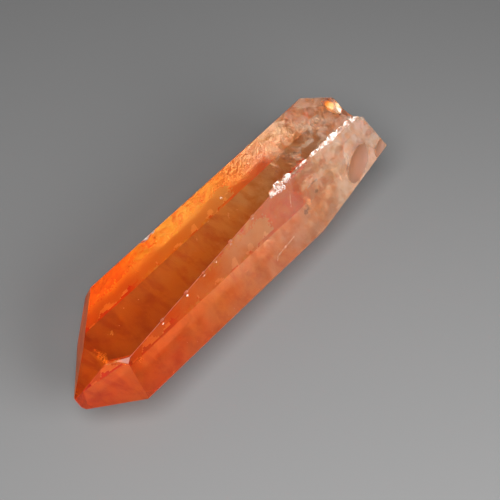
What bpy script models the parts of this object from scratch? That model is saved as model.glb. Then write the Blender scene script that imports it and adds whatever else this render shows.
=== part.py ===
"""Tangerine quartz crystal: one natural six-sided point lying on a prism face.

The crystal lies along X with its point towards +X and rests on z = 0.
Sizes are in millimetres and are turned into metres where the mesh is made.
A face is given by three values: the angle of its normal around the long axis
(0 is +Y, 90 is up), its lean towards the point, and its distance from the axis.
"""

import math

import bmesh
import bpy
from mathutils import Matrix
from mathutils import Vector

MM = 0.001

# Block the crystal is cut from, and the height of the long axis over the rest face
BLOCK = 70.0
REST_HEIGHT = 5.22

# Six prism faces: angle around the axis, lean towards the point, distance
FACE_TOP = (91.9, 3.5, 5.33)
FACE_UPPER_RIGHT = (30.9, -2.4, 5.18)
FACE_UPPER_LEFT = (152.6, 0.8, 5.04)
FACE_LOWER_RIGHT = (-29.8, 0.3, 5.05)
FACE_LOWER_LEFT = (210.0, -0.3, 5.31)
FACE_REST = (-90.0, 0.0, REST_HEIGHT)

# Six faces of the point, unequal as they grew
POINT_TOP = (88.6, 53.6, 16.93)
POINT_UPPER_RIGHT = (29.1, 47.0, 16.22)
POINT_UPPER_LEFT = (164.1, 37.2, 11.36)
POINT_LOWER_RIGHT = (-50.2, 23.8, 9.75)
POINT_LOWER_LEFT = (210.0, 50.0, 14.60)
POINT_UNDER = (-90.0, 48.0, 15.12)

# Small flats: worn corner where the ridge meets the point, and the blunt tip
CORNER_FLAT = (61.2, 20.5, 11.26)
TIP_FLAT = (-133.5, 53.7, 15.52)

# Narrowing faces of the broken end, on the right side
END_UPPER_RIGHT = (28.7, 3.9, 4.38)
END_LOWER_RIGHT = (-30.0, -5.8, 5.81)
END_CORNER_RIGHT = (-30.0, -10.0, 6.34)

# Planes of the break itself
BREAK_MAIN = (88.0, -66.0, 17.55)
BREAK_LEFT = (147.7, -44.6, 14.20)
BREAK_UNDER = (-69.0, -73.5, 17.90)

# Shell-shaped scars on the break and the end face:
# centre, the face it is in, the way it runs, half length, half width, depth
BREAK_HOLLOW = ((-18.4, -0.3, 1.2), BREAK_MAIN, (0.0, 1.0, 0.1), 4.0, 3.4, 0.85)
BREAK_STEP = ((-16.25, 1.55, 6.3), BREAK_MAIN, (0.0, 1.0, 0.0), 1.5, 1.7, 0.95)
OVAL_SCAR = ((-14.15, 4.62, 2.71), END_UPPER_RIGHT, (0.80, 0.25, -0.58), 1.95, 1.10, 0.26)
CORNER_SCAR = ((-17.18, 4.90, 2.62), END_UPPER_RIGHT, (0.70, 0.23, -0.52), 1.00, 0.50, 0.12)

# Chips along an edge: place along X, half length, half width, depth
RIDGE_CHIPS = (
    (12.06, 0.30, 0.24, 0.09),
    (8.78, 0.34, 0.28, 0.11),
    (6.34, 0.24, 0.20, 0.08),
    (2.42, 0.30, 0.28, 0.11),
    (-0.86, 0.30, 0.22, 0.09),
    (-4.15, 0.62, 0.66, 0.26),
    (-4.95, 0.70, 0.84, 0.38),
)
END_RIDGE_CHIPS = (
    (-6.15, 0.62, 0.56, 0.24),
    (-8.20, 0.90, 0.26, 0.08),
    (-9.90, 0.75, 0.38, 0.13),
    (-11.20, 0.70, 0.46, 0.17),
    (-12.40, 0.80, 0.70, 0.27),
    (-13.60, 0.70, 0.54, 0.21),
    (-14.70, 0.70, 0.58, 0.23),
    (-15.60, 0.55, 0.62, 0.26),
)
LEFT_EDGE_CHIPS = (
    (6.60, 0.75, 0.55, 0.20),
    (5.70, 0.40, 0.35, 0.12),
    (1.65, 0.35, 0.28, 0.10),
    (0.36, 0.40, 0.30, 0.11),
)

SHARED_FACES = (
    FACE_TOP,
    FACE_UPPER_LEFT,
    FACE_LOWER_RIGHT,
    FACE_LOWER_LEFT,
    FACE_REST,
)

POINT_FACES = (
    POINT_TOP,
    POINT_UPPER_RIGHT,
    POINT_UPPER_LEFT,
    POINT_LOWER_RIGHT,
    POINT_LOWER_LEFT,
    POINT_UNDER,
    CORNER_FLAT,
    TIP_FLAT,
)

END_FACES = (
    END_LOWER_RIGHT,
    END_CORNER_RIGHT,
    BREAK_MAIN,
    BREAK_LEFT,
    BREAK_UNDER,
)

SCAR_DETAIL = 3
CHIP_DETAIL = 2

# A scar is the shallow cap of a rounded cutter this many times deeper than the scar
SHELL = 3.0


def clear_scene():
    for item in list(bpy.data.objects):
        bpy.data.objects.remove(item, do_unlink=True)


def face_normal(around, lean):
    a = math.radians(around)
    s = math.radians(lean)
    return Vector((math.sin(s), math.cos(s) * math.cos(a), math.cos(s) * math.sin(a)))


def cut_face(bm, face):
    """Cut the block back to one crystal face and close it with a flat face."""
    around, lean, distance = face
    normal = face_normal(around, lean)
    parts = bm.verts[:] + bm.edges[:] + bm.faces[:]
    cut = bmesh.ops.bisect_plane(
        bm,
        geom=parts,
        dist=1e-7,
        plane_co=normal * distance * MM,
        plane_no=normal,
        clear_outer=True,
    )
    rim = [item for item in cut["geom_cut"] if isinstance(item, bmesh.types.BMEdge)]
    open_rim = [edge for edge in rim if len(edge.link_faces) == 1]
    if open_rim:
        bmesh.ops.edgeloop_fill(bm, edges=open_rim)


def cut_open(bm, point, normal):
    """Cut across the block and leave the cut open for joining."""
    bmesh.ops.bisect_plane(
        bm,
        geom=bm.verts[:] + bm.edges[:] + bm.faces[:],
        dist=1e-7,
        plane_co=point * MM,
        plane_no=normal,
        clear_outer=True,
    )


def new_block():
    bm = bmesh.new()
    bmesh.ops.create_cube(bm, size=BLOCK * MM)
    return bm


def meeting_point(first, second, third):
    """Corner where three faces meet, in millimetres."""
    normals = [face_normal(face[0], face[1]) for face in (first, second, third)]
    distances = Vector((first[2], second[2], third[2]))
    return Matrix(normals).inverted() @ distances


def add_scar_cutter(name, centre, facing, along, sizes, detail, home):
    """Rounded cutter whose cap leaves a shell-shaped scar of the sizes asked for."""
    half_length, half_width, depth = sizes
    rise = 1.0 - 1.0 / SHELL
    spread = 1.0 / math.sqrt(1.0 - rise * rise)
    across = facing.cross(along).normalized()
    along = across.cross(facing).normalized()
    turn = Matrix((along, across, facing)).transposed()
    stretch = Vector((half_length * spread, half_width * spread, depth * SHELL))
    middle = centre + facing * depth * SHELL * rise

    mesh = bpy.data.meshes.new(name)
    bm = bmesh.new()
    bmesh.ops.create_icosphere(bm, subdivisions=detail, radius=MM)
    bmesh.ops.scale(bm, vec=stretch, verts=bm.verts[:])
    bmesh.ops.rotate(bm, cent=(0, 0, 0), matrix=turn, verts=bm.verts[:])
    bmesh.ops.translate(bm, vec=middle * MM, verts=bm.verts[:])
    bm.to_mesh(mesh)
    bm.free()
    cutter = bpy.data.objects.new(name, mesh)
    cutter.hide_render = True
    cutter.display_type = "WIRE"
    home.objects.link(cutter)
    return cutter


def chip_edge(crystal, name, first, second, chips, home, lift):
    """Chip the edge between two faces at each listed place."""
    facing = (face_normal(*first[:2]) + face_normal(*second[:2])).normalized()
    along = face_normal(*first[:2]).cross(face_normal(*second[:2])).normalized()
    for number, chip in enumerate(chips):
        centre = meeting_point(first, second, (0.0, 90.0, chip[0])) + lift
        label = name + " " + str(number + 1)
        cutter = add_scar_cutter(label, centre, facing, along, chip[1:], CHIP_DETAIL, home)
        subtract(crystal, cutter)


def subtract(crystal, cutter):
    step = crystal.modifiers.new(cutter.name, "BOOLEAN")
    step.operation = "DIFFERENCE"
    step.solver = "EXACT"
    step.object = cutter


def crystal_material():
    material = bpy.data.materials.new("tangerine quartz")
    material.use_nodes = True
    shader = material.node_tree.nodes["Principled BSDF"]
    shader.inputs["Base Color"].default_value = (0.80, 0.17, 0.03, 1.0)
    shader.inputs["Roughness"].default_value = 0.12
    shader.inputs["IOR"].default_value = 1.544
    material.diffuse_color = (0.80, 0.17, 0.03, 1.0)
    return material


clear_scene()

home = bpy.data.collections.new("Tangerine quartz crystal")
cutter_home = bpy.data.collections.new("Cutters")
bpy.context.scene.collection.children.link(home)
bpy.context.scene.collection.children.link(cutter_home)

# Plane across the crystal where the upper right face turns, at the large chip
turn_point = meeting_point(FACE_TOP, FACE_UPPER_RIGHT, END_UPPER_RIGHT)
crease = face_normal(*FACE_UPPER_RIGHT[:2]).cross(face_normal(*END_UPPER_RIGHT[:2]))
across = crease.cross(Vector((0.0, 1.0, 0.0))).normalized()
if across.x < 0:
    across = -across

# Front length: a block cut back to the prism faces and the faces of the point
block = new_block()
for face in SHARED_FACES + (FACE_UPPER_RIGHT,) + POINT_FACES:
    cut_face(block, face)
cut_open(block, turn_point, -across)

# Broken length: the same prism, but its upper right face turns outwards again
broken_length = new_block()
for face in SHARED_FACES + (END_UPPER_RIGHT,):
    cut_face(broken_length, face)
cut_open(broken_length, turn_point, across)

# Both lengths grow together along the joint into one skin
length_mesh = bpy.data.meshes.new("Broken length")
broken_length.to_mesh(length_mesh)
broken_length.free()
block.from_mesh(length_mesh)
bpy.data.meshes.remove(length_mesh)
bmesh.ops.remove_doubles(block, verts=block.verts[:], dist=0.00002)
flat_joint = [edge for edge in block.edges if edge.calc_face_angle(1.0) < math.radians(0.5)]
bmesh.ops.dissolve_edges(block, edges=flat_joint, use_verts=True)

for face in END_FACES:
    cut_face(block, face)

bmesh.ops.remove_doubles(block, verts=block.verts[:], dist=0.000005)
bmesh.ops.recalc_face_normals(block, faces=block.faces[:])

# Stand the rest face on z = 0
bmesh.ops.translate(block, vec=(0.0, 0.0, REST_HEIGHT * MM), verts=block.verts[:])

crystal_mesh = bpy.data.meshes.new("crystal")
block.to_mesh(crystal_mesh)
block.free()

crystal = bpy.data.objects.new("crystal", crystal_mesh)
crystal_mesh.materials.append(crystal_material())
home.objects.link(crystal)

# Scars of the break and the end face, each with its own cutter
lift = Vector((0.0, 0.0, REST_HEIGHT))
scars = (
    ("Break hollow", BREAK_HOLLOW),
    ("Break step", BREAK_STEP),
    ("Oval scar", OVAL_SCAR),
    ("Corner scar", CORNER_SCAR),
)
for name, (centre, face, along, half_length, half_width, depth) in scars:
    sizes = (half_length, half_width, depth)
    facing = face_normal(face[0], face[1])
    placed = Vector(centre) + lift
    cutter = add_scar_cutter(
        name, placed, facing, Vector(along), sizes, SCAR_DETAIL, cutter_home
    )
    subtract(crystal, cutter)

# Crushed and chipped edges
chip_edge(
    crystal, "Ridge chip", FACE_TOP, FACE_UPPER_RIGHT, RIDGE_CHIPS, cutter_home, lift
)
chip_edge(
    crystal, "End ridge chip", FACE_TOP, END_UPPER_RIGHT, END_RIDGE_CHIPS, cutter_home, lift
)
chip_edge(
    crystal, "Left edge chip", FACE_TOP, FACE_UPPER_LEFT, LEFT_EDGE_CHIPS, cutter_home, lift
)

# Origin under the middle of the finished crystal, on the rest face
depsgraph = bpy.context.evaluated_depsgraph_get()
finished = crystal.evaluated_get(depsgraph)
corners = [Vector(corner) for corner in finished.bound_box]
middle_x = (min(c.x for c in corners) + max(c.x for c in corners)) / 2
middle_y = (min(c.y for c in corners) + max(c.y for c in corners)) / 2
centred = Matrix.Translation((-middle_x, -middle_y, 0.0))
for item in list(home.objects) + list(cutter_home.objects):
    item.data.transform(centred)
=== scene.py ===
"""Looks of the tangerine quartz crystal, in metres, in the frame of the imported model."""

import math
import random

import bmesh
import bpy
from mathutils import Matrix
from mathutils import Vector
from mathutils import noise


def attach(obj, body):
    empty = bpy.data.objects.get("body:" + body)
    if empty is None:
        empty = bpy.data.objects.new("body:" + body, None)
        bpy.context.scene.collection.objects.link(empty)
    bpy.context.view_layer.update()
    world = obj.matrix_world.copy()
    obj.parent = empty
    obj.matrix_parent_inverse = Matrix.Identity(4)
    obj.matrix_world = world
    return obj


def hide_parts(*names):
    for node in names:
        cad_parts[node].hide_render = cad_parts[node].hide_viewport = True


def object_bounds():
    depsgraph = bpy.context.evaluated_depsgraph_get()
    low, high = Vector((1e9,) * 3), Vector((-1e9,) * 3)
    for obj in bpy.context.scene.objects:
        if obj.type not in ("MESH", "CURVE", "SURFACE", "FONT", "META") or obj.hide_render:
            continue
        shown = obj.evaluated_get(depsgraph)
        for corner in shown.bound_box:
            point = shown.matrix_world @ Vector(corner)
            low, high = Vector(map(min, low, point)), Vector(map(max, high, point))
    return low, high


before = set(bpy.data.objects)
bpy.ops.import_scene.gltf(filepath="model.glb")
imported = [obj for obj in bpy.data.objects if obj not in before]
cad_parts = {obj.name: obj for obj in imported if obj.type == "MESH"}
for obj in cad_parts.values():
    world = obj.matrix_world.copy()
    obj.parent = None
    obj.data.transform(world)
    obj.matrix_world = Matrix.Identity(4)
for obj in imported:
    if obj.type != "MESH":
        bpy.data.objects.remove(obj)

MM = 0.001
CAD_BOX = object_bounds()
# Half of the crystal's length, in metres
HALF_LENGTH = round(CAD_BOX[1][0], 4)

# All places below are in millimetres from this point on the crystal's long axis
AXIS = Vector((-0.88, -0.15, 5.22))

# Gap between the floor and the rest face, so that the two don't flicker
FLOOR_GAP = 0.02

# Camera: direction it looks from, distance and lens, and the point it looks at
VIEW_AZIMUTH = 130.0
VIEW_ELEVATION = 50.0
VIEW_DISTANCE = 117.0
LENS = 93.6
LOOK_RIGHT = 2.55
LOOK_UP = -0.24

# Soft round panels: direction, distance, width across, brightness
PANELS = {
    "right panel": ((0.15, 0.80, 0.55), 115.0, 80.0, 8.9),
    "top panel": ((0.50, 0.28, 0.82), 150.0, 72.0, 23.0),
}

# Low glow along the horizon beyond the right side: direction, half width and height
# in degrees, brightness
GLOW_WAY = (-0.5, 0.87, 0.0)
GLOW_HALF_WIDTH = 50.0
GLOW_LOWEST = -0.3
GLOW_FULL = 2.0
GLOW_HIGHEST = 26.0
GLOW_BRIGHTNESS = 5.0
ROOM_LIGHT = 0.07

# Faces: smallest area of a grown face, and the coats that they carry
GROWN_FACE_AREA = 0.9
# Facets of the hollows in the break: the largest one, and how far along the axis they lie
HOLLOW_FACET_AREA = 2.0
HOLLOW_START = -16.95
CLEAR_COAT = 0
STAINED_COAT = 1
POINT_COAT = 2
FILMED_COAT = 3
HAZY_COAT = 4
AMBER_COAT = 5
THIN_FILM_COAT = 6
FILM_RIM_COAT = 7
RUSTY_COAT = 8
FAINT_VEIL = 9
THICK_VEIL = 10
SHELL_BREAK = 11
SMALL_SCAR = 12
CRUSHED = 13
WORN_EDGE_AND_HIGHLIGHT = 14

# Worn edges: width of the wear, lowest long edge that is worn, and the width of the bend
# in the upper right face. Angles, in degrees, at which facets join, edges count and
# shading breaks.
LONG_EDGE_WEAR = 0.03
SHORT_EDGE_WEAR = 0.03
LOWEST_WORN_EDGE = -2.0
BEND_WIDTH = 1.1
FLAT_ANGLE = 0.8
EDGE_ANGLE = 4.0
SHARP_ANGLE = 28.0

# Ridge that has been knocked: its turn near the middle, and its two ends
RIDGE_FRONT = Vector((16.2, 4.35, 4.35))
RIDGE_KNOCK = Vector((-3.2, 2.60, 5.66))
RIDGE_TURN = Vector((-5.87, 2.30, 5.78))
RIDGE_END = Vector((-15.7, 2.75, 6.40))
RIDGE_REACH = 0.95
RIDGE_SPECKS = (12.0, 8.7, 6.3, 4.6, 2.4, -0.9)
LEFT_CHIP = Vector((6.4, -2.9, 4.85))
LEFT_CHIP_REACH = 1.0
LEFT_NICKS = (Vector((2.2, -2.9, 5.1)), Vector((-0.2, -2.9, 5.2)))
LEFT_NICK_REACH = 1.0
# Share of the knocked places left without white dust: the more, the higher
BARE_CHIP = 0.12
BARE_RIDGE = -0.12

# Crust on the broken corner: middle, half sizes and turn
CRUST_MIDDLE = Vector((-15.58, 0.16, 6.14))
CRUST_SIZE = (0.66, 1.06, 0.20)
CRUST_TURN = -14.0

# Quartz bends light by this much. Colour of the clear quartz itself, and how strongly it
# tones light.
QUARTZ_IOR = 1.544
CLEAR_TONE = "#F2D3AE"
TONE_DENSITY = 25.0

# Stain from the break towards the point: of the thin film, of the lobes at its rim, of
# the break, and of the small scars
THIN_FILM_TONES = (
    (0.30, "#FFD8A8"), (0.58, "#FFBE74"), (0.76, "#FF9844"), (0.95, "#FF7C28"),
)
RIM_TONES = ((0.30, "#FFE0B8"), (0.60, "#FFD2A0"), (0.95, "#FFA860"))
BREAK_TONES = ((0.10, "#F4ECDE"), (0.35, "#F8DCB4"), (0.70, "#FF9E4C"))
SCAR_TONES = ((0.10, "#EAD2AC"), (0.35, "#F0C890"), (0.70, "#FF9E4C"))

# Lower part of the lower left face where the film is thin, its lobed rim, and the grains
# that its ragged border is made of
FILM_LOWEST = -5.2
FILM_BREAK_SIDE = -6.0
FILM_TIP_SIDE = 15.5
FILM_HIGHEST = -3.4
FILM_RIM = -4.95
FILM_GRAIN = 0.14
FILM_LOOSENESS = 16.7

# Stretch of the left faces where the stain is thin: fades in and out along the axis
THIN_TIP_SIDE = (8.5, 5.0)
THIN_BREAK_SIDE = (-6.0, -2.0)

# Veils at the surface near the break: where they start, thicken and end along the axis,
# how far they spread across, their grains, and the haze at which a veil is faint or thick
VEIL_START = -5.6
VEIL_THICKENS_OVER = 6.0
VEIL_END = -16.4
VEIL_ACROSS = (-4.0, 7.0)
VEIL_GRAIN = 0.14
VEIL_LOOSENESS = 17.3
FAINT_HAZE = 0.70
THICK_HAZE = 1.25
CURL_WIDTH = 0.02
# Single veils: start, end and half width
TOP_VEILS = (
    ((-11.40, -1.64, 5.99), (-12.14, 0.43, 6.10), 0.26),
    ((-11.31, -0.07, 6.03), (-13.46, 0.10, 6.17), 0.26),
    ((-7.20, -0.27, 5.77), (-7.99, -0.22, 5.82), 0.34),
    ((-6.60, 0.32, 5.76), (-6.67, 0.83, 5.78), 0.10),
    ((-9.47, -0.70, 5.90), (-9.39, -0.18, 5.91), 0.22),
    ((-8.51, 1.30, 5.91), (-8.68, 1.73, 5.93), 0.18),
    ((-12.02, 1.31, 6.12), (-12.73, 1.23, 6.16), 0.20),
    ((-7.39, -1.45, 5.75), (-8.38, -1.56, 5.80), 0.22),
    ((-10.06, 1.35, 6.00), (-11.01, 1.41, 6.06), 0.16),
)
RIGHT_VEILS = (
    ((-12.86, 3.66, 4.28), (-13.34, 4.05, 3.64), 0.32),
    ((-11.06, 3.66, 4.02), (-11.68, 4.59, 2.42), 0.08),
    ((-7.33, 3.34, 4.09), (-9.29, 3.41, 4.24), 0.20),
    ((-7.24, 3.93, 3.00), (-7.41, 4.16, 2.60), 0.16),
    ((-14.68, 2.98, 5.79), (-15.43, 3.67, 4.63), 0.26),
)

# The way in which a cloud of flakes lies flat: looking down through the top face, and
# down through the upper right face
DOWN_TOP = Vector((-0.36, -0.27, -0.89))
DOWN_RIGHT = Vector((-0.32, -0.62, -0.71))

# Flake clouds on healed cracks, and a few painted glints and a painted rim shade: facing, start,
# end, width, flakes, flake size
PALE_VEILS = (
    (DOWN_RIGHT, (-14.95, 3.84, 3.72), (-13.20, 3.86, 3.44), 0.08, 70, 0.024),
    (DOWN_RIGHT, (-13.20, 3.86, 3.44), (-12.45, 4.20, 2.70), 0.08, 80, 0.024),
    (DOWN_RIGHT, (-12.45, 4.20, 2.70), (-12.55, 4.78, 1.62), 0.08, 60, 0.024),
    (DOWN_TOP, (-12.00, -2.03, 4.67), (-12.75, 0.06, 4.78), 0.6, 216, 0.025),
    (DOWN_TOP, (-11.79, -0.37, 4.98), (-13.24, 0.12, 5.08), 0.45, 360, 0.028),
    (DOWN_TOP, (-12.43, -0.03, 5.39), (-12.56, 0.15, 5.40), 0.3, 82, 0.037),
    (DOWN_TOP, (-12.63, 0.67, 5.42), (-12.94, 0.67, 5.44), 0.25, 58, 0.037),
    (DOWN_TOP, (-13.36, 0.01, 5.27), (-13.93, -0.07, 5.30), 0.6, 192, 0.028),
    (DOWN_TOP, (-6.79, 0.03, 5.22), (-6.90, 0.57, 5.24), 0.14, 120, 0.031),
    (DOWN_TOP, (-9.14, -2.33, 4.48), (-10.01, -2.20, 4.54), 0.6, 168, 0.025),
    (DOWN_TOP, (-9.93, -1.23, 4.83), (-9.91, -0.63, 4.85), 0.5, 144, 0.025),
    (DOWN_TOP, (-15.41, 0.36, 6.03), (-15.32, 0.89, 6.04), 0.45, 288, 0.043),
    (DOWN_RIGHT, (-13.36, 3.23, 3.27), (-13.70, 3.20, 3.38), 0.6, 168, 0.028),
    (DOWN_RIGHT, (-11.10, 3.53, 3.53), (-11.75, 3.62, 3.46), 0.08, 96, 0.022),
    (DOWN_RIGHT, (-11.75, 3.62, 3.46), (-11.84, 4.34, 2.15), 0.08, 144, 0.022),
    (DOWN_RIGHT, (-7.97, 2.63, 3.97), (-9.20, 2.75, 3.92), 0.3, 216, 0.028),
    (DOWN_RIGHT, (-5.79, 2.94, 4.19), (-5.38, 3.42, 3.43), 0.06, 86, 0.017),
    (DOWN_TOP, (-0.20, 0.59, 4.55), (0.27, 1.09, 4.54), 0.12, 48, 0.019),
    (DOWN_TOP, (3.55, 0.22, 4.31), (3.79, 0.45, 4.30), 0.08, 10, 0.030),
    (DOWN_TOP, (12.90, 0.31, 4.01), (12.92, 0.33, 4.01), 0.08, 5, 0.040),
    (DOWN_TOP, (11.53, 0.70, 4.11), (11.55, 0.72, 4.11), 0.06, 4, 0.035),
    (DOWN_TOP, (14.45, 1.24, 4.04), (14.47, 1.26, 4.04), 0.06, 4, 0.035),
    (DOWN_TOP, (-0.86, 1.05, 4.88), (-0.84, 1.07, 4.88), 0.06, 5, 0.035),
    (DOWN_TOP, (1.83, -0.05, 4.77), (1.53, -0.12, 4.79), 0.05, 8, 0.030),
)
PEACH_VEILS_AND_GLINT = (
    (DOWN_TOP, (-7.42, -0.50, 4.70), (-8.66, -0.46, 4.78), 0.7, 408, 0.028),
    (DOWN_TOP, (-7.39, -0.44, 5.06), (-7.66, -0.37, 5.08), 0.3, 144, 0.040),
    (DOWN_TOP, (-8.95, 0.93, 4.57), (-9.62, 1.22, 4.62), 0.5, 168, 0.028),
    (DOWN_RIGHT, (-7.40, 3.56, 2.19), (-7.85, 3.55, 2.28), 0.40, 216, 0.043),
    # Painted glint: peach flakes where the upper right face catches light near the point
    (DOWN_RIGHT, (15.40, 4.30, 3.63), (15.62, 4.49, 3.34), 0.25, 62, 0.028),
    (DOWN_RIGHT, (2.15, 4.61, 2.39), (2.17, 4.61, 2.36), 0.10, 8, 0.050),
    (DOWN_TOP, (15.14, 1.04, 3.71), (15.38, 1.37, 3.70), 0.25, 62, 0.028),
)
AMBER_VEILS = (
    (DOWN_TOP, (-15.89, -0.34, 5.99), (-15.69, 0.27, 6.00), 0.5, 360, 0.043),
    (DOWN_TOP, (17.45, 1.32, 3.95), (17.59, 2.88, 3.99), 0.45, 312, 0.025),
    (DOWN_TOP, (17.00, 3.50, 4.24), (16.81, 4.10, 4.00), 0.14, 96, 0.025),
    (DOWN_TOP, (5.71, -2.67, 4.54), (5.94, -2.24, 4.54), 0.20, 62, 0.034),
    (DOWN_TOP, (6.35, -2.22, 4.42), (6.30, -1.97, 4.43), 0.20, 53, 0.031),
    (DOWN_TOP, (9.47, -2.26, 4.32), (9.46, -1.25, 4.36), 0.06, 72, 0.019),
)
IRON_VEILS = (
    (DOWN_TOP, (-9.10, 1.93, 5.06), (-7.24, 2.02, 4.95), 0.40, 528, 0.031),
    (DOWN_TOP, (-7.24, 2.02, 4.95), (-5.60, 1.95, 4.85), 0.25, 216, 0.028),
)
SMOKY_VEILS_AND_RIM_SHADE = (
    # Painted shade: the first three lines of dark flakes follow the inner left rim of the oval
    # scar, where it lies in shade
    (DOWN_RIGHT, (-15.10, 3.97, 3.60), (-13.40, 3.98, 3.36), 0.06, 110, 0.024),
    (DOWN_RIGHT, (-13.40, 3.98, 3.36), (-12.65, 4.33, 2.65), 0.08, 110, 0.026),
    (DOWN_RIGHT, (-12.65, 4.33, 2.65), (-12.80, 4.90, 1.60), 0.06, 90, 0.024),
    (DOWN_TOP, (-9.06, 0.70, 5.20), (-9.64, 1.49, 5.26), 0.06, 120, 0.022),
    (DOWN_RIGHT, (-6.76, 3.81, 1.46), (-7.62, 3.57, 1.83), 0.45, 264, 0.037),
    (DOWN_RIGHT, (-8.77, 3.33, 2.43), (-9.13, 3.34, 2.47), 0.30, 120, 0.031),
    (DOWN_RIGHT, (-9.52, 2.93, 3.27), (-8.13, 2.87, 3.19), 0.16, 192, 0.028),
)

# White marks just under the surface: the curved crack and single specks, and a painted glint of
# white flakes near the point
WHITE_MARKS_AND_GLINT = (
    (DOWN_RIGHT, (-4.17, 4.92, 1.44), (-3.44, 4.98, 1.40), 0.06, 90, 0.032),
    (DOWN_RIGHT, (-3.44, 4.98, 1.40), (-2.47, 5.05, 1.37), 0.09, 190, 0.036),
    (DOWN_RIGHT, (-2.47, 5.05, 1.37), (-1.59, 5.14, 1.29), 0.09, 170, 0.036),
    (DOWN_RIGHT, (-1.59, 5.14, 1.29), (-1.33, 5.32, 1.02), 0.05, 44, 0.030),
    (DOWN_RIGHT, (5.11, 5.67, 0.93), (5.13, 5.67, 0.92), 0.05, 4, 0.040),
    (DOWN_RIGHT, (5.95, 5.76, 0.86), (5.97, 5.76, 0.85), 0.05, 3, 0.035),
    (DOWN_RIGHT, (8.19, 5.82, 0.94), (8.21, 5.82, 0.93), 0.05, 3, 0.035),
    (DOWN_RIGHT, (9.97, 5.73, 1.23), (9.99, 5.73, 1.22), 0.05, 3, 0.035),
    (DOWN_RIGHT, (10.89, 5.43, 1.81), (10.91, 5.43, 1.80), 0.05, 3, 0.035),
    (DOWN_RIGHT, (-4.95, 5.54, 0.33), (-4.93, 5.54, 0.32), 0.05, 3, 0.040),
    (DOWN_RIGHT, (-2.66, 5.64, 0.35), (-2.64, 5.64, 0.34), 0.05, 3, 0.035),
    (DOWN_RIGHT, (13.42, 6.07, 0.94), (13.44, 6.07, 0.93), 0.06, 6, 0.040),
    (DOWN_TOP, (-0.76, -0.77, 5.33), (-0.89, -0.70, 5.34), 0.16, 40, 0.050),
    (DOWN_TOP, (-1.50, -0.86, 5.13), (-1.74, -0.72, 5.15), 0.10, 10, 0.030),
    # Painted glint: white flakes where the corner of the point catches light
    (DOWN_TOP, (17.77, 2.93, 3.97), (17.14, 3.53, 4.20), 0.10, 44, 0.036),
)


def linear(hex_colour, alpha=1.0):
    """Linear colour of an sRGB hex value."""
    value = hex_colour.lstrip("#")
    channels = [int(value[i:i + 2], 16) / 255 for i in (0, 2, 4)]
    turned = [c / 12.92 if c <= 0.04045 else ((c + 0.055) / 1.055) ** 2.4 for c in channels]
    return (turned[0], turned[1], turned[2], alpha)


def add_node(tree, kind, settings=None, values=None, links=None):
    """Add a node, set it up, and link sockets of earlier nodes to its inputs."""
    made = tree.nodes.new(kind)
    for name, value in (settings or {}).items():
        setattr(made, name, value)
    for socket, value in (values or {}).items():
        made.inputs[socket].default_value = value
    for socket, source in (links or {}).items():
        tree.links.new(source, made.inputs[socket])
    return made


def new_material(name):
    """Material with an empty node tree."""
    material = bpy.data.materials.new(name)
    material.use_nodes = True
    material.node_tree.nodes.clear()
    return material


def set_ramp(ramp_node, stops):
    """Colour stops of a ramp: place and sRGB hex."""
    ramp = ramp_node.color_ramp
    while len(ramp.elements) > 1:
        ramp.elements.remove(ramp.elements[-1])
    ramp.elements[0].position = stops[0][0]
    ramp.elements[0].color = linear(stops[0][1])
    for place, colour in stops[1:]:
        ramp.elements.new(place).color = linear(colour)


def stain_colour(tree, place, stops):
    """Iron stain: strong at the point, in clouds of about 5 mm, fading to the break."""
    cloud = add_node(
        tree, "ShaderNodeTexNoise",
        values={"Scale": 190.0, "Detail": 5.0, "Roughness": 0.62},
        links={"Vector": place},
    )
    axes = add_node(tree, "ShaderNodeSeparateXYZ", links={"Vector": place})
    length = add_node(
        tree, "ShaderNodeMapRange",
        values={"From Min": -HALF_LENGTH, "From Max": HALF_LENGTH},
        links={"Value": axes.outputs["X"]},
    )
    drift = add_node(
        tree, "ShaderNodeMath",
        settings={"operation": "MULTIPLY_ADD"},
        values={1: 0.5, 2: -0.25},
        links={0: cloud.outputs["Fac"]},
    )
    stained = add_node(
        tree, "ShaderNodeMath",
        settings={"operation": "ADD"},
        links={0: length.outputs["Result"], 1: drift.outputs["Value"]},
    )
    tint = add_node(tree, "ShaderNodeValToRGB", links={"Fac": stained.outputs["Value"]})
    set_ramp(tint, stops)
    return tint.outputs["Color"]


def mottled(tree, place, colour, scale, dark):
    """Uneven depth of a stain, from a third of a millimetre to a few millimetres wide."""
    stretched = add_node(
        tree, "ShaderNodeMapping",
        values={"Scale": scale},
        links={"Vector": place},
    )
    patches = add_node(
        tree, "ShaderNodeTexNoise",
        values={"Scale": 1.0, "Detail": 5.0, "Roughness": 0.65, "Distortion": 0.4},
        links={"Vector": stretched.outputs["Vector"]},
    )
    tone = add_node(tree, "ShaderNodeValToRGB", links={"Fac": patches.outputs["Fac"]})
    set_ramp(tone, ((0.36, dark), (0.56, "#FFFFFF")))
    mixed = add_node(
        tree, "ShaderNodeMix",
        settings={"data_type": "RGBA", "blend_type": "MULTIPLY"},
        values={0: 1.0},
        links={6: colour, 7: tone.outputs["Color"]},
    )
    return mixed.outputs[2]


def grown_relief(tree, place, swell_strength):
    """Very slight swell of a grown face, 7 mm wide, with growth lines 0.5 mm apart."""
    swell = add_node(
        tree, "ShaderNodeTexNoise",
        values={"Scale": 140.0, "Detail": 2.0},
        links={"Vector": place},
    )
    squeezed = add_node(
        tree, "ShaderNodeMapping",
        values={"Scale": (2200.0, 200.0, 200.0)},
        links={"Vector": place},
    )
    lines = add_node(
        tree, "ShaderNodeTexNoise",
        values={"Scale": 1.0, "Detail": 1.0},
        links={"Vector": squeezed.outputs["Vector"]},
    )
    uneven = add_node(
        tree, "ShaderNodeBump",
        values={"Strength": swell_strength, "Distance": 0.0010},
        links={"Height": swell.outputs["Fac"]},
    )
    lined = add_node(
        tree, "ShaderNodeBump",
        values={"Strength": 0.02, "Distance": 0.0002},
        links={"Height": lines.outputs["Fac"], "Normal": uneven.outputs["Normal"]},
    )
    return lined.outputs["Normal"]


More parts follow.
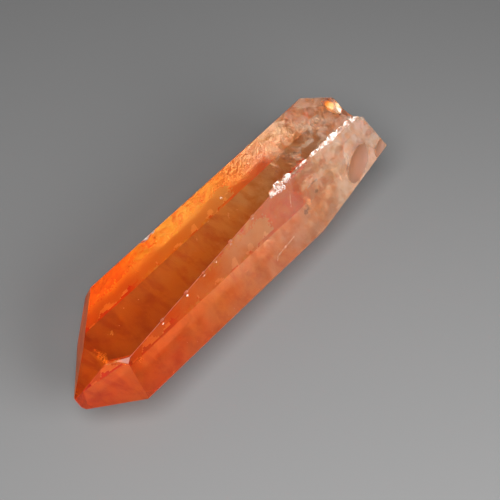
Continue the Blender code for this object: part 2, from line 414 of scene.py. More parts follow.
def finish_quartz(tree, colour, normal, roughness, clearness):
    """Quartz itself: see-through, with the same tone inside under every surface."""
    shader = add_node(
        tree, "ShaderNodeBsdfPrincipled",
        values={
            "Roughness": roughness, "IOR": QUARTZ_IOR, "Transmission Weight": clearness,
        },
        links={"Base Color": colour, "Normal": normal},
    )
    tone = add_node(
        tree, "ShaderNodeVolumeAbsorption",
        values={"Color": linear(CLEAR_TONE), "Density": TONE_DENSITY},
    )
    add_node(
        tree, "ShaderNodeOutputMaterial",
        links={"Surface": shader.outputs["BSDF"], "Volume": tone.outputs["Volume"]},
    )


def clear_quartz():
    """Top face: glassy, almost bare of stain, so that the colours inside stay deep."""
    material = new_material("glassy grown quartz")
    tree = material.node_tree
    place = add_node(tree, "ShaderNodeTexCoord").outputs["Object"]
    colour = stain_colour(tree, place, (
        (0.08, "#F8EED6"),
        (0.25, "#FAE4B8"),
        (0.38, "#FFDA90"),
        (0.62, "#FFC862"),
        (0.95, "#FFB044"),
    ))
    finish_quartz(tree, colour, grown_relief(tree, place, 0.10), 0.05, 0.99)
    return material


def stained_quartz():
    """Rest face under a thin stain: orange at the point, beige at the break."""
    material = new_material("iron stained quartz")
    tree = material.node_tree
    place = add_node(tree, "ShaderNodeTexCoord").outputs["Object"]
    colour = stain_colour(tree, place, (
        (0.08, "#F6EEDC"),
        (0.24, "#F8E2BC"),
        (0.36, "#FFCC80"),
        (0.62, "#F8AA42"),
        (0.82, "#E08A22"),
        (0.96, "#FF9420"),
    ))
    colour = mottled(tree, place, colour, (700.0, 340.0, 420.0), "#E6C29C")
    finish_quartz(tree, colour, grown_relief(tree, place, 0.10), 0.06, 0.40)
    return material


def amber_quartz():
    """Lower right faces: an even amber stain that colours the low light let in there."""
    material = new_material("amber stained quartz")
    tree = material.node_tree
    place = add_node(tree, "ShaderNodeTexCoord").outputs["Object"]
    colour = stain_colour(tree, place, (
        (0.08, "#F6E8D0"),
        (0.15, "#FCDCB0"),
        (0.22, "#FFB468"),
        (0.27, "#FF8A26"),
        (0.45, "#FF9A32"),
        (0.60, "#FF5804"),
        (0.80, "#EC3C00"),
        (0.95, "#E23200"),
    ))
    finish_quartz(tree, colour, grown_relief(tree, place, 0.10), 0.06, 0.92)
    return material


def point_quartz():
    """Under faces of the point, where the stain is deepest: a strong orange light."""
    material = new_material("deeply iron stained quartz")
    tree = material.node_tree
    place = add_node(tree, "ShaderNodeTexCoord").outputs["Object"]
    colour = stain_colour(tree, place, (
        (0.60, "#FF9A28"),
        (0.80, "#FF8610"),
        (0.95, "#FF7A00"),
    ))
    colour = mottled(tree, place, colour, (420.0, 420.0, 420.0), "#F4D0A0")
    finish_quartz(tree, colour, grown_relief(tree, place, 0.10), 0.06, 0.22)
    return material


def thin_stretch(tree, place):
    """How thin the stain of the left faces is along the axis: 1 in the middle, 0 outside."""
    axes = add_node(tree, "ShaderNodeSeparateXYZ", links={"Vector": place})
    ends = []
    for outer, inner in (THIN_TIP_SIDE, THIN_BREAK_SIDE):
        ends.append(add_node(
            tree, "ShaderNodeMapRange",
            settings={"interpolation_type": "SMOOTHSTEP"},
            values={
                "From Min": (outer + AXIS.x) * MM, "From Max": (inner + AXIS.x) * MM,
                "To Min": 0.0, "To Max": 1.0,
            },
            links={"Value": axes.outputs["X"]},
        ).outputs["Result"])
    both = add_node(
        tree, "ShaderNodeMath",
        settings={"operation": "MULTIPLY"},
        links={0: ends[0], 1: ends[1]},
    )
    return both.outputs["Value"]


def cloud_layer(tree, place, scale, low, high, colour, under, limit):
    """Lay a cloudy tone over an earlier one, only where the limit allows it.

    Gives the colour, and the cloud itself for use as a height.
    """
    cloud = add_node(
        tree, "ShaderNodeTexNoise",
        values={"Scale": scale, "Detail": 5.0, "Roughness": 0.62, "Distortion": 0.8},
        links={"Vector": place},
    )
    spread = add_node(
        tree, "ShaderNodeMapRange",
        settings={"interpolation_type": "SMOOTHSTEP"},
        values={"From Min": low, "From Max": high, "To Min": 0.0, "To Max": 1.0},
        links={"Value": cloud.outputs["Fac"]},
    )
    part = add_node(
        tree, "ShaderNodeMath",
        settings={"operation": "MULTIPLY"},
        links={0: spread.outputs["Result"], 1: limit},
    )
    laid = add_node(
        tree, "ShaderNodeMix",
        settings={"data_type": "RGBA"},
        values={7: linear(colour)},
        links={0: part.outputs["Value"], 6: under},
    )
    return laid.outputs[2], cloud.outputs["Fac"]


def filmed_quartz():
    """Left faces: a cloudy iron film that glows, thin and yellow along the middle."""
    material = new_material("cloudy iron film on quartz")
    tree = material.node_tree
    place = add_node(tree, "ShaderNodeTexCoord").outputs["Object"]
    colour = stain_colour(tree, place, (
        (0.08, "#F6EAD0"),
        (0.17, "#F8DCB0"),
        (0.24, "#FF9430"),
        (0.40, "#FF8622"),
        (0.52, "#FF7C1A"),
        (0.66, "#FF6008"),
        (0.95, "#E83800"),
    ))
    thin = thin_stretch(tree, place)
    # Clouds of about 3 mm with puffs of about 1 mm in them, and a rusty mottle of 2 mm
    colour = cloud_layer(tree, place, 320.0, 0.40, 0.54, "#FFDA70", colour, thin)[0]
    colour, puffs = cloud_layer(tree, place, 1000.0, 0.46, 0.62, "#FFEA9C", colour, thin)
    colour = mottled(tree, place, colour, (500.0, 600.0, 600.0), "#FFB078")
    bump = add_node(
        tree, "ShaderNodeBump",
        values={"Strength": 0.2, "Distance": 0.0003},
        links={"Height": puffs},
    )
    finish_quartz(tree, colour, bump.outputs["Normal"], 0.12, 0.32)
    return material


def thin_filmed_quartz(name, clearness, stops):
    """Lower part of the left faces: a thinner, paler film, and the peach lobes of its rim."""
    material = new_material(name)
    tree = material.node_tree
    place = add_node(tree, "ShaderNodeTexCoord").outputs["Object"]
    colour = stain_colour(tree, place, stops)
    finish_quartz(tree, colour, grown_relief(tree, place, 0.10), 0.12, clearness)
    return material


def rusty_quartz():
    """Left face of the point and two nicks: a dull rust film, patchy at 1 mm."""
    material = new_material("rust film on quartz")
    tree = material.node_tree
    place = add_node(tree, "ShaderNodeTexCoord").outputs["Object"]
    rust = add_node(
        tree, "ShaderNodeTexNoise",
        values={"Scale": 900.0, "Detail": 4.0},
        links={"Vector": place},
    )
    colour = add_node(tree, "ShaderNodeValToRGB", links={"Fac": rust.outputs["Fac"]})
    set_ramp(colour, ((0.35, "#D06414"), (0.65, "#F88C28")))
    finish_quartz(
        tree, colour.outputs["Color"], grown_relief(tree, place, 0.10), 0.60, 0.45
    )
    return material


def hazy_quartz():
    """Upper right faces: a faint milky haze that thickens towards the break."""
    material = new_material("hazed quartz")
    tree = material.node_tree
    place = add_node(tree, "ShaderNodeTexCoord").outputs["Object"]
    colour = stain_colour(tree, place, (
        (0.10, "#FAF4E6"),
        (0.20, "#FAEED8"),
        (0.34, "#F4DEC4"),
        (0.50, "#EEC8A2"),
        (0.65, "#ECA05C"),
        (0.95, "#EC7A24"),
    ))
    colour = mottled(tree, place, colour, (360.0, 520.0, 520.0), "#F0CCB4")
    finish_quartz(tree, colour, grown_relief(tree, place, 0.03), 0.04, 0.92)
    return material


def veiled_quartz(name, clearness):
    """Quartz with a healed crack just under its face: a soft milky patch."""
    material = new_material(name)
    tree = material.node_tree
    place = add_node(tree, "ShaderNodeTexCoord").outputs["Object"]
    colour = stain_colour(tree, place, (
        (0.10, "#FAF0E0"),
        (0.22, "#FAE6CC"),
        (0.32, "#FFD2A4"),
    ))
    colour = mottled(tree, place, colour, (1500.0, 1500.0, 1500.0), "#F0D0B0")
    finish_quartz(tree, colour, grown_relief(tree, place, 0.05), 0.12, clearness)
    return material


def fracture(name, clearness, roughness, stops):
    """Conchoidal break: curved ripples about 0.8 mm apart, frosted or glassy."""
    material = new_material(name)
    tree = material.node_tree
    place = add_node(tree, "ShaderNodeTexCoord").outputs["Object"]
    centred = add_node(
        tree, "ShaderNodeMapping",
        values={"Location": (0.0160, -0.0050, -0.0080)},
        links={"Vector": place},
    )
    ripple = add_node(
        tree, "ShaderNodeTexWave",
        settings={"wave_type": "RINGS", "rings_direction": "SPHERICAL"},
        values={"Scale": 420.0, "Distortion": 5.0, "Detail": 3.0},
        links={"Vector": centred.outputs["Vector"]},
    )
    bump = add_node(
        tree, "ShaderNodeBump",
        values={"Strength": 0.08, "Distance": 0.0002},
        links={"Height": ripple.outputs["Fac"]},
    )
    colour = stain_colour(tree, place, stops)
    finish_quartz(tree, colour, bump.outputs["Normal"], roughness, clearness)
    return material


def crushed_quartz():
    """Crushed quartz: powdery and white, with stained hollows between the grains.

    The grit is drawn at 0.4 mm, coarser than real crushed quartz, so that it shows.
    """
    material = new_material("crushed quartz")
    tree = material.node_tree
    place = add_node(tree, "ShaderNodeTexCoord").outputs["Object"]
    grit = add_node(
        tree, "ShaderNodeTexNoise",
        values={"Scale": 2600.0, "Detail": 3.0, "Roughness": 0.7},
        links={"Vector": place},
    )
    colour = add_node(tree, "ShaderNodeValToRGB", links={"Fac": grit.outputs["Fac"]})
    set_ramp(colour, ((0.36, "#A8765A"), (0.48, "#D9C0B2"), (0.62, "#FBF4F0")))
    bump = add_node(
        tree, "ShaderNodeBump",
        values={"Strength": 0.7, "Distance": 0.0001},
        links={"Height": grit.outputs["Fac"]},
    )
    shader = add_node(
        tree, "ShaderNodeBsdfPrincipled",
        values={"Roughness": 0.42, "IOR": QUARTZ_IOR},
        links={"Base Color": colour.outputs["Color"], "Normal": bump.outputs["Normal"]},
    )
    add_node(tree, "ShaderNodeOutputMaterial", links={"Surface": shader.outputs["BSDF"]})
    return material


def worn_edge_and_highlight():
    """Worn edge: finely bruised, and lighter in tone as a painted highlight, so it shows as a
    thin pale line of caught light.
    """
    material = new_material("bruised edge of quartz with painted highlight")
    tree = material.node_tree
    place = add_node(tree, "ShaderNodeTexCoord").outputs["Object"]
    bruise = add_node(
        tree, "ShaderNodeTexNoise",
        values={"Scale": 1500.0, "Detail": 2.0},
        links={"Vector": place},
    )
    colour = add_node(tree, "ShaderNodeValToRGB", links={"Fac": bruise.outputs["Fac"]})
    set_ramp(colour, ((0.35, "#E88A50"), (0.65, "#F2C0A0")))
    bump = add_node(
        tree, "ShaderNodeBump",
        values={"Strength": 0.4, "Distance": 0.0001},
        links={"Height": bruise.outputs["Fac"]},
    )
    finish_quartz(tree, colour.outputs["Color"], bump.outputs["Normal"], 0.30, 0.9)
    return material


def flake_finish(name, dark, light):
    """Tiny flat flakes on a healed crack, or painted as a glint or a shade: matt, uneven in tone
    from flake to flake.
    """
    material = new_material(name)
    tree = material.node_tree
    place = add_node(tree, "ShaderNodeTexCoord").outputs["Object"]
    mottle = add_node(
        tree, "ShaderNodeTexNoise",
        values={"Scale": 2200.0, "Detail": 2.0},
        links={"Vector": place},
    )
    colour = add_node(tree, "ShaderNodeValToRGB", links={"Fac": mottle.outputs["Fac"]})
    set_ramp(colour, ((0.35, dark), (0.65, light)))
    shader = add_node(
        tree, "ShaderNodeBsdfPrincipled",
        values={"Roughness": 0.55, "IOR": 1.45},
        links={"Base Color": colour.outputs["Color"]},
    )
    add_node(tree, "ShaderNodeOutputMaterial", links={"Surface": shader.outputs["BSDF"]})
    return material


def crust_finish():
    """Iron oxide crust: matt and grainy at 0.6 mm, orange on its left, cream on its right."""
    material = new_material("iron oxide crust")
    tree = material.node_tree
    place = add_node(tree, "ShaderNodeTexCoord").outputs["Object"]
    axes = add_node(tree, "ShaderNodeSeparateXYZ", links={"Vector": place})
    middle = (CRUST_MIDDLE.y + AXIS.y) * MM
    across = add_node(
        tree, "ShaderNodeMapRange",
        values={"From Min": middle - 0.9 * MM, "From Max": middle + 0.9 * MM},
        links={"Value": axes.outputs["Y"]},
    )
    cloud = add_node(
        tree, "ShaderNodeTexNoise",
        values={"Scale": 1700.0, "Detail": 3.0},
        links={"Vector": place},
    )
    drift = add_node(
        tree, "ShaderNodeMath",
        settings={"operation": "MULTIPLY_ADD"},
        values={1: 1.4, 2: -0.7},
        links={0: cloud.outputs["Fac"]},
    )
    tone = add_node(
        tree, "ShaderNodeMath",
        settings={"operation": "ADD"},
        links={0: across.outputs["Result"], 1: drift.outputs["Value"]},
    )
    colour = add_node(tree, "ShaderNodeValToRGB", links={"Fac": tone.outputs["Value"]})
    set_ramp(colour, ((0.05, "#D86C28"), (0.40, "#F89038"), (0.65, "#FFB878"), (0.9, "#FFE0C8")))
    bump = add_node(
        tree, "ShaderNodeBump",
        values={"Strength": 0.5, "Distance": 0.0001},
        links={"Height": cloud.outputs["Fac"]},
    )
    shader = add_node(
        tree, "ShaderNodeBsdfPrincipled",
        values={"Roughness": 0.5, "IOR": 1.5},
        links={"Base Color": colour.outputs["Color"], "Normal": bump.outputs["Normal"]},
    )
    add_node(tree, "ShaderNodeOutputMaterial", links={"Surface": shader.outputs["BSDF"]})
    return material


def pale_floor():
    """Plain matt floor, without any shine."""
    material = new_material("pale floor")
    tree = material.node_tree
    shader = add_node(
        tree, "ShaderNodeBsdfPrincipled",
        values={
            "Base Color": linear("#747474"), "Roughness": 1.0, "Specular IOR Level": 0.0,
        },
    )
    add_node(tree, "ShaderNodeOutputMaterial", links={"Surface": shader.outputs["BSDF"]})
    return material


def finished_piece(name, bm, materials):
    """Object at the origin with its place in its mesh."""
    mesh = bpy.data.meshes.new(name)
    bm.to_mesh(mesh)
    bm.free()
    for material in materials:
        mesh.materials.append(material)
    piece = bpy.data.objects.new(name, mesh)
    bpy.context.scene.collection.objects.link(piece)
    return piece


def near_line(point, start, end, reach):
    """Whether a point, in millimetres from the axis, is near a straight line."""
    run = end - start
    part = max(0.0, min(1.0, (point - start).dot(run) / run.length_squared))
    return (start + run * part - point).length < reach


def face_coat(face):
    """Slot of a grown face by where it looks: at the break, the point or round the axis."""
    # 0 looks to the right, 90 up, 180 to the left
    around = math.degrees(math.atan2(face.normal.z, face.normal.y)) % 360
    if face.normal.x < -0.3:
        return SHELL_BREAK
    if face.normal.x > 0.3:
        if face.normal.y < -0.7 and face.normal.z > 0.0:
            return RUSTY_COAT
        return CLEAR_COAT if face.normal.z > 0.2 else POINT_COAT
    if 120 < around < 240:
        return FILMED_COAT
    if 60 < around < 120:
        return CLEAR_COAT
    if 5 < around < 50:
        return HAZY_COAT
    return STAINED_COAT if face.normal.z < -0.9 else AMBER_COAT


def in_hollow(face):
    """Whether a face is a facet of the shell-shaped hollows of the break."""
    if face.normal.x > -0.6 or face.calc_area() > HOLLOW_FACET_AREA * MM * MM:
        return False
    return face.calc_center_median().x / MM - AXIS.x < HOLLOW_START


def is_crushed(face):
    """Whether a broken face belongs to the knocked ridge or to the white left chip."""
    point = face.calc_center_median() / MM - AXIS
    if near_line(point, RIDGE_KNOCK, RIDGE_TURN, RIDGE_REACH):
        return True
    if near_line(point, RIDGE_TURN, RIDGE_END, RIDGE_REACH):
        return True
    return (point - LEFT_CHIP).length < LEFT_CHIP_REACH


def crush(bm, broken):
    """Break the faces of the knocked places up small and dust some of them white."""
    knocked = [face for face in broken if is_crushed(face)]
    edges = list({edge for face in knocked for edge in face.edges})
    parts = bmesh.ops.subdivide_edges(bm, edges=edges, cuts=2, use_grid_fill=True)
    small = [item for item in parts["geom"] if isinstance(item, bmesh.types.BMFace)]
    small = [f for f in small if f.calc_area() < GROWN_FACE_AREA * MM * MM and is_crushed(f)]
    for face in small:
        point = face.calc_center_median() / MM
        crumbly = near_line(point - AXIS, RIDGE_KNOCK, RIDGE_TURN, RIDGE_REACH)
        bare = BARE_CHIP if crumbly else BARE_RIDGE
        dusted = noise.noise(point * 3.5) + 0.6 * noise.noise(point * 9.0) > bare
        face.material_index = CRUSHED if dusted else SMALL_SCAR
        face.smooth = False


def is_veiled(point, veils, reach):
    """Whether a point, in millimetres from the axis, lies in one of the given veils."""
    ragged = 1.0 + 0.9 * noise.noise(point * 1.9)
    ragged += 0.9 * noise.noise(point * VEIL_LOOSENESS)
    for start, end, width in veils:
        if near_line(point, Vector(start), Vector(end), width * reach * ragged):
            return True
    return False


def cut_into_grains(bm, faces, cuts, size):
    """Cut faces up by planes one grain apart, and give the grains."""
    for way, first, last in cuts:
        for step in range(int((last - first) / size) + 1):
            place = (AXIS + way * (first + step * size)) * MM
            geometry = faces + list({item for face in faces for item in face.edges})
            geometry += list({item for face in faces for item in face.verts})
            cut = bmesh.ops.bisect_plane(
                bm, geom=geometry, dist=1e-7, plane_co=place, plane_no=way
            )
            faces = [item for item in cut["geom"] if isinstance(item, bmesh.types.BMFace)]
    return faces


def veil_patches(bm, slot, across, veils, cover):
    """Cut the end of a face into small grains and give the veiled ones a milky coat."""
    end_faces = [
        face for face in bm.faces
        if face.material_index == slot and abs(face.normal.x) < 0.2
        and min(vert.co.x for vert in face.verts) < (VEIL_START + AXIS.x) * MM
    ]
    cuts = ((Vector((1, 0, 0)), VEIL_END, VEIL_START), (across, *VEIL_ACROSS))
    for face in cut_into_grains(bm, end_faces, cuts, VEIL_GRAIN):
        point = face.calc_center_median() / MM - AXIS
        if point.x > VEIL_START:
            continue
        inward = min(1.0, (VEIL_START - point.x) / VEIL_THICKENS_OVER)
        haze = noise.noise(point * 0.9) + 0.5 * noise.noise(point * 2.6)
        haze += 0.9 * noise.noise(point * VEIL_LOOSENESS)
        curl = abs(noise.noise(point * 0.8 + Vector((3.1, 0.4, 1.7))))
        haze += cover * inward
        if is_veiled(point, veils, 1.0) or haze > THICK_HAZE:
            face.material_index = THICK_VEIL
        elif is_veiled(point, veils, 1.7) or haze > FAINT_HAZE or curl < CURL_WIDTH:
            face.material_index = FAINT_VEIL


def film_edge(bm):
    """Thin the film low on the lower left face, with lobes of thick film at its rim."""
    lower_left = [
        face for face in bm.faces
        if face.material_index == FILMED_COAT and face.normal.z < 0.0
    ]
    cuts = (
        (Vector((0, 0, 1)), FILM_LOWEST, FILM_HIGHEST + 1.0),
        (Vector((1, 0, 0)), FILM_BREAK_SIDE - 1.0, FILM_TIP_SIDE),
    )
    for face in cut_into_grains(bm, lower_left, cuts, FILM_GRAIN):
        point = face.calc_center_median() / MM - AXIS
        lobe = 0.4 * noise.noise(point * 0.7) + 0.3 * noise.noise(point * 1.6)
        loose = 0.6 * noise.noise(point * FILM_LOOSENESS)
        if not FILM_BREAK_SIDE + loose < point.x < FILM_TIP_SIDE + loose:
            continue
        height = point.z - lobe
        curl = noise.noise(point * 0.9 + Vector((7.0, 2.0, 5.0)))
        if FILM_RIM < height < FILM_HIGHEST + loose:
            face.material_index = THIN_FILM_COAT
            if height < FILM_RIM + 0.1 + 0.9 * curl:
                face.material_index = FILM_RIM_COAT


def crystal_piece(crushed):
    """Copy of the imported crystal, merged, with coated faces, scars and worn edges."""
    bm = bmesh.new()
    bm.from_mesh(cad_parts["crystal"].data)
    bmesh.ops.remove_doubles(bm, verts=bm.verts[:], dist=1e-6)
    bmesh.ops.dissolve_limit(
        bm, angle_limit=math.radians(FLAT_ANGLE), verts=bm.verts[:], edges=bm.edges[:]
    )
    hollow = {face for face in bm.faces if in_hollow(face)}
    grown = {face for face in bm.faces if face.calc_area() > GROWN_FACE_AREA * MM * MM}
    grown -= hollow
    for face in bm.faces:
        face.material_index = face_coat(face) if face in grown else SMALL_SCAR
        if face in hollow:
            face.material_index = SHELL_BREAK
        face.smooth = face not in grown
    for edge in bm.edges:
        edge.smooth = edge.calc_face_angle(0.0) < math.radians(SHARP_ANGLE)
    long_edges = []
    short_edges = []
    bend_edges = []
    for edge in bm.edges:
        if not all(face in grown for face in edge.link_faces):
            continue
        if edge.calc_face_angle(0.0) < math.radians(EDGE_ANGLE):
            continue
        run = edge.verts[1].co - edge.verts[0].co
        if all(face_coat(face) == HAZY_COAT for face in edge.link_faces):
            bend_edges.append(edge)
        elif abs(run.normalized().x) > 0.95:
            if edge.verts[0].co.z > (AXIS.z + LOWEST_WORN_EDGE) * MM:
                long_edges.append(edge)
        else:
            short_edges.append(edge)
    broken = [face for face in bm.faces if face not in grown]
    for face in broken:
        point = face.calc_center_median() / MM - AXIS
        if near_line(point, *LEFT_NICKS, LEFT_NICK_REACH):
            face.material_index = RUSTY_COAT
    crush(bm, broken)
    worn = bmesh.ops.bevel(
        bm, geom=long_edges, offset=LONG_EDGE_WEAR * MM, affect="EDGES", segments=2,
        profile=0.5, material=-1, clamp_overlap=False,
    )
    # The worn faces of the long edges carry a painted highlight: a pale line along the edge
    for face in worn["faces"]:
        face.material_index = WORN_EDGE_AND_HIGHLIGHT
    bent = bmesh.ops.bevel(
        bm, geom=[edge for edge in bend_edges if edge.is_valid], offset=BEND_WIDTH * MM,
        affect="EDGES", segments=8, profile=0.5, material=-1, clamp_overlap=False,
    )
    for face in bent["faces"]:
        face.smooth = True
    short_edges = [edge for edge in short_edges if edge.is_valid]
    bmesh.ops.bevel(
        bm, geom=short_edges, offset=SHORT_EDGE_WEAR * MM, affect="EDGES", segments=2,
        profile=0.5, material=-1, clamp_overlap=False,
    )
    film_edge(bm)
    veil_patches(bm, CLEAR_COAT, Vector((0, 1, 0)), TOP_VEILS, 0.9)
    veil_patches(bm, HAZY_COAT, Vector((0, 0, 1)), RIGHT_VEILS, 1.5)
    materials = (
        clear_quartz(), stained_quartz(), point_quartz(), filmed_quartz(),
        hazy_quartz(), amber_quartz(),
        thin_filmed_quartz("thin iron film on quartz", 0.32, THIN_FILM_TONES),
        thin_filmed_quartz("peach rim of the film", 0.15, RIM_TONES),
        rusty_quartz(),
        veiled_quartz("faint veil in quartz", 0.90), veiled_quartz("thick veil in quartz", 0.83),
        fracture("frosted shell fracture", 0.50, 0.25, BREAK_TONES),
        fracture("glassy shell scar", 0.95, 0.50, SCAR_TONES),
        crushed, worn_edge_and_highlight(),
    )
    piece = finished_piece("quartz", bm, materials)
    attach(piece, "root")
    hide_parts("crystal")
    return piece


def flake_cloud(rng, facing, start, end, width, count, size, splinters):
    """Loose lacy sheet of flakes or splinters between two points, square to its facing."""
    cloud = bmesh.new()
    run = end - start
    along = run.normalized()
    across = facing.cross(along).normalized()
    square = along.cross(across)
    placed = 0
    while placed < count:
        part = rng.uniform(-0.04, 1.04)
        spread = width * (0.35 + 0.65 * math.sin(math.pi * min(max(part, 0.0), 1.0)))
        place = start + run * part + across * rng.gauss(0.0, 0.36) * spread
        place += square * rng.gauss(0.0, 0.10) * width
        if noise.noise(place * 2.6) < rng.uniform(-0.5, 0.25) and count > 12:
            continue
        radius = size * rng.uniform(0.45, 1.25)
        if splinters:
            flake = bmesh.ops.create_cone(
                cloud, cap_ends=True, segments=rng.choice((3, 4, 5)), radius1=radius * MM,
                radius2=radius * rng.uniform(0.1, 0.6) * MM, depth=radius * 1.6 * MM,
            )
            stretch = (rng.uniform(0.6, 2.2), rng.uniform(0.5, 1.1), rng.uniform(0.6, 1.4))
            lean = Vector([rng.gauss(0.0, 1.0) for value in square])
        else:
            flake = bmesh.ops.create_icosphere(cloud, subdivisions=1, radius=radius * MM)
            stretch = (rng.uniform(0.8, 1.7), rng.uniform(0.6, 1.1), 0.35)
            lean = Vector([value + rng.gauss(0.0, 0.25) for value in square])
        bmesh.ops.scale(cloud, vec=stretch, verts=flake["verts"])
        turn = lean.to_track_quat("Z", "X").to_matrix()
        bmesh.ops.rotate(cloud, cent=(0, 0, 0), matrix=turn, verts=flake["verts"])
        bmesh.ops.translate(cloud, vec=(place + AXIS) * MM, verts=flake["verts"])
        placed += 1
    return cloud


def flakes(name, clouds, material, seed, splinters=False):
    """One piece made of all flake or splinter clouds of one tone."""
    rng = random.Random(seed)
    bm = bmesh.new()
    for facing, start, end, width, count, size in clouds:
        begin = Vector(start)
        finish = Vector(end)
        cloud = flake_cloud(rng, facing, begin, finish, width, count, size, splinters)
        holder = bpy.data.meshes.new("cloud")
        cloud.to_mesh(holder)
        cloud.free()
        bm.from_mesh(holder)
        bpy.data.meshes.remove(holder)
    piece = finished_piece(name, bm, (material,))
    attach(piece, "root")
    return piece


def corner_crust():
    """Cream and orange crust that sits on the broken corner by the notch."""
    bm = bmesh.new()
    bmesh.ops.create_icosphere(bm, subdivisions=4, radius=1.0)
    for vert in bm.verts:
        rough = noise.noise(vert.co * 1.8) + 0.5 * noise.noise(vert.co * 5.0)
        vert.co *= 1.0 + 0.30 * rough
    bmesh.ops.scale(bm, vec=CRUST_SIZE, verts=bm.verts[:])
    turn = Matrix.Rotation(math.radians(CRUST_TURN), 3, "Z")
    bmesh.ops.rotate(bm, cent=(0, 0, 0), matrix=turn, verts=bm.verts[:])
    for vert in bm.verts:
        vert.co = (vert.co + CRUST_MIDDLE + AXIS) * MM
    for face in bm.faces:
        face.smooth = True
    piece = finished_piece("corner_crust", bm, (crust_finish(),))
    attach(piece, "root")
    return piece


def crushed_grains(material):
    """Loose grains of crushed quartz that stick in the knocked ridge."""
    turn_to_end = RIDGE_END - RIDGE_TURN
    turn_to_front = RIDGE_FRONT - RIDGE_TURN
    low = Vector((0.0, 0.0, -0.16))
    across = turn_to_end.cross(Vector((0, 0, 1))).normalized()
    # Along the ridge: first and last part of its length, width, grains, grain size
    stretches = (
        (RIDGE_TURN, turn_to_end, 0.00, 0.22, 0.14, 60, 0.035),
        (RIDGE_TURN, turn_to_end, 0.22, 0.50, 0.14, 90, 0.035),
        (RIDGE_TURN, turn_to_end, 0.50, 0.80, 0.34, 190, 0.040),
        (RIDGE_TURN, turn_to_end, 0.80, 1.00, 0.26, 110, 0.040),
        (RIDGE_TURN, turn_to_front, -0.03, 0.10, 0.80, 380, 0.048),
    )
    for along in RIDGE_SPECKS:
        part = (along - RIDGE_TURN.x) / turn_to_front.x
        stretches += ((RIDGE_TURN, turn_to_front, part, part + 0.01, 0.16, 14, 0.038),)
    clouds = []
    for start, run, first, last, width, count, size in stretches:
        begin = start + run * first + low
        finish = start + run * last + low
        clouds.append((across.cross(run).normalized(), begin, finish, width, count, size))
    return flakes("crushed_grains", clouds, material, 7, splinters=True)


def floor():
    """Plain floor, a hair under the crystal's rest face."""
    bm = bmesh.new()
    bmesh.ops.create_grid(bm, x_segments=1, y_segments=1, size=1.0)
    bmesh.ops.translate(bm, vec=(0, 0, -FLOOR_GAP * MM), verts=bm.verts[:])
    piece = finished_piece("floor", bm, (pale_floor(),))
    return piece


def view_axes():
    """Directions back to the camera, to its right and up."""
    a = math.radians(VIEW_AZIMUTH)
    e = math.radians(VIEW_ELEVATION)
    back = Vector((math.sin(a) * math.cos(e), -math.cos(a) * math.cos(e), math.sin(e)))
    right = Vector((math.cos(a), math.sin(a), 0.0))
    return back, right, back.cross(right)


def camera():
    """Camera that looks down along the crystal from the right of its point."""
    back, right, up = view_axes()
    data = bpy.data.cameras.new("camera")
    data.lens = LENS
    data.sensor_width = 36.0
    data.clip_start = 0.001
    made = bpy.data.objects.new("camera", data)
    place = AXIS + back * VIEW_DISTANCE
    look = AXIS + right * LOOK_RIGHT + up * LOOK_UP
    upright = Matrix((right, up, back)).transposed()
    turn = back.rotation_difference((place - look).normalized()).to_matrix()
    made.matrix_world = Matrix.LocRotScale(place * MM, turn @ upright, None)
    bpy.context.scene.collection.objects.link(made)
    bpy.context.scene.camera = made


def soft_panel(name, way, distance, size, brightness):
    """Round soft panel that faces the crystal."""
    data = bpy.data.lights.new(name, "AREA")
    data.shape = "DISK"
    data.size = size * MM
    data.energy = brightness * math.pi * math.pi * (data.size / 2) ** 2
    made = bpy.data.objects.new(name, data)
    aim = Vector(way).normalized() * distance
    made.location = (AXIS + aim) * MM
    made.rotation_euler = aim.to_track_quat("Z", "Y").to_euler()
    bpy.context.scene.collection.objects.link(made)


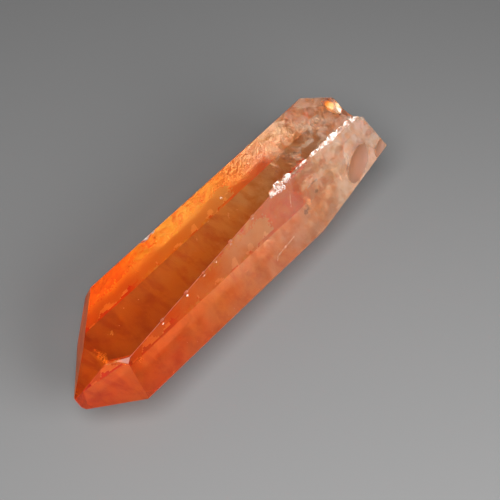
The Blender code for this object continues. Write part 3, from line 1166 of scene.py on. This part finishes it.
def room():
    """Dim room with one soft low glow along the horizon behind the right side."""
    world = bpy.data.worlds.new("room")
    world.use_nodes = True
    tree = world.node_tree
    way = add_node(tree, "ShaderNodeTexCoord").outputs["Generated"]
    facing = add_node(
        tree, "ShaderNodeVectorMath",
        settings={"operation": "DOT_PRODUCT"},
        values={1: Vector(GLOW_WAY).normalized()},
        links={0: way},
    )
    sideways = add_node(
        tree, "ShaderNodeMapRange",
        settings={"interpolation_type": "SMOOTHERSTEP"},
        values={"From Min": math.cos(math.radians(GLOW_HALF_WIDTH)), "From Max": 1.0},
        links={"Value": facing.outputs["Value"]},
    )
    height = add_node(tree, "ShaderNodeSeparateXYZ", links={"Vector": way})
    rising = add_node(
        tree, "ShaderNodeMapRange",
        settings={"interpolation_type": "SMOOTHSTEP"},
        values={
            "From Min": math.sin(math.radians(GLOW_LOWEST)),
            "From Max": math.sin(math.radians(GLOW_FULL)),
        },
        links={"Value": height.outputs["Z"]},
    )
    fading = add_node(
        tree, "ShaderNodeMapRange",
        settings={"interpolation_type": "SMOOTHSTEP"},
        values={
            "From Min": math.sin(math.radians(GLOW_HIGHEST)),
            "From Max": math.sin(math.radians(GLOW_FULL)),
        },
        links={"Value": height.outputs["Z"]},
    )
    low = add_node(
        tree, "ShaderNodeMath",
        settings={"operation": "MULTIPLY"},
        links={0: rising.outputs["Result"], 1: fading.outputs["Result"]},
    )
    glow = add_node(
        tree, "ShaderNodeMath",
        settings={"operation": "MULTIPLY"},
        links={0: low.outputs["Value"], 1: sideways.outputs["Result"]},
    )
    light = add_node(
        tree, "ShaderNodeMath",
        settings={"operation": "MULTIPLY_ADD"},
        values={1: GLOW_BRIGHTNESS, 2: ROOM_LIGHT},
        links={0: glow.outputs["Value"]},
    )
    background = tree.nodes["Background"]
    background.inputs["Color"].default_value = linear("#FFFFFF")
    tree.links.new(light.outputs["Value"], background.inputs["Strength"])
    bpy.context.scene.world = world
    bpy.context.scene.view_settings.view_transform = "Standard"


crushed = crushed_quartz()
crystal_piece(crushed)
corner_crust()
crushed_grains(crushed)
flakes("white_marks_and_glint", WHITE_MARKS_AND_GLINT, crushed, 11)
flakes("pale_veils", PALE_VEILS, flake_finish("pale healed veil", "#E9C79C", "#FFF0DA"), 12)
flakes("peach_veils_and_glint", PEACH_VEILS_AND_GLINT, flake_finish("peach healed veil and painted glint", "#F0A868", "#FFD9A8"), 13)
flakes("amber_veils", AMBER_VEILS, flake_finish("amber healed veil", "#F08A28", "#FFC060"), 14)
flakes("iron_veils", IRON_VEILS, flake_finish("iron red veil", "#C83C0C", "#F46A20"), 15)
flakes("smoky_veils_and_rim_shade", SMOKY_VEILS_AND_RIM_SHADE, flake_finish("smoky veil and painted rim shade", "#6A4630", "#9A7458"), 16)
floor()
camera()
for name, panel in PANELS.items():
    soft_panel(name, *panel)
room()
